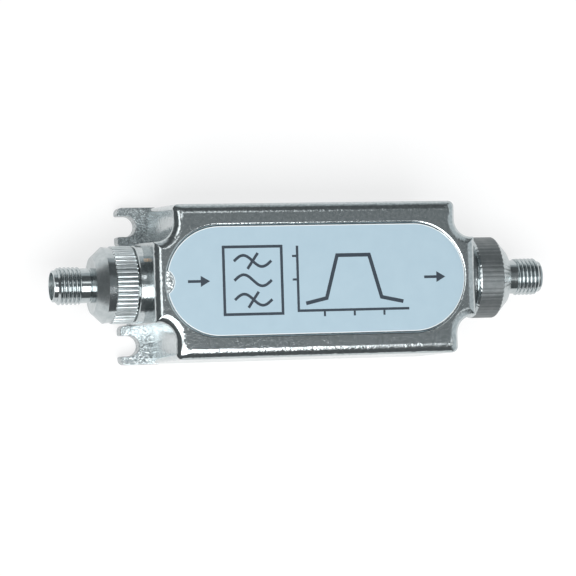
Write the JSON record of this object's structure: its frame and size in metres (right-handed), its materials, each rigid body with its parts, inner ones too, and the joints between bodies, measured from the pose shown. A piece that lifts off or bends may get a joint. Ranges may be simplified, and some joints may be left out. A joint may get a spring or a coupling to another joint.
{
  "type": "rf bandpass filter",
  "caption": "Inline die-cast filter box with rounded top edges, a stadium label recess, slotted mounting ears and a knurled threaded coaxial jack at each end.",
  "frame": {"origin": "centre of the back face, midway between the two shoulders", "axes": "+X along the connectors towards the output jack, +Z out of the label face, +Y across the box"},
  "size_m": [0.0859, 0.0266, 0.02],
  "materials": {
    "cast_nickel": "bright nickel plate over die-cast zinc, faintly rippled",
    "turned_nickel": "bright nickel plate over turned brass",
    "tinned_steel": "tinned sheet steel",
    "label": "pale-blue laminated sheet",
    "white_dielectric": "white fluoropolymer",
    "cream_insulator": "natural moulded plastic",
    "gold_contact": "gold plate over copper alloy",
    "board_green": "green solder resist on glass-fibre laminate",
    "screw_steel": "zinc-plated steel",
    "copper_wire": "enamelled copper wire",
    "chip_ceramic": "tan ceramic with tinned ends"
  },
  "bodies": {
    "root": {"housing": "cast_nickel", "rear_cover": "tinned_steel", "label": "label", "port_in_insulator": "cream_insulator", "port_out_insulator": "cream_insulator", "port_in_contact": "gold_contact", "port_out_contact": "gold_contact", "adapter_in_body": "turned_nickel", "adapter_out_body": "turned_nickel", "adapter_in_dielectric": "white_dielectric", "adapter_out_dielectric": "white_dielectric", "adapter_in_contact": "gold_contact", "adapter_out_contact": "gold_contact", "adapter_in_bead": "cream_insulator", "adapter_out_bead": "cream_insulator", "circuit_board": "board_green", "board_screws": "screw_steel", "coil_1": "copper_wire", "coil_2": "copper_wire", "coil_3": "copper_wire", "coil_4": "copper_wire", "coil_5": "copper_wire", "capacitor_1": "chip_ceramic", "capacitor_2": "chip_ceramic", "capacitor_3": "chip_ceramic", "capacitor_4": "chip_ceramic", "capacitor_5": "chip_ceramic", "capacitor_6": "chip_ceramic", "capacitor_7": "chip_ceramic", "capacitor_8": "chip_ceramic", "capacitor_9": "chip_ceramic", "capacitor_10": "chip_ceramic", "partition_1": "tinned_steel", "partition_2": "tinned_steel", "partition_3": "tinned_steel", "partition_4": "tinned_steel"}
  },
  "joints": []
}
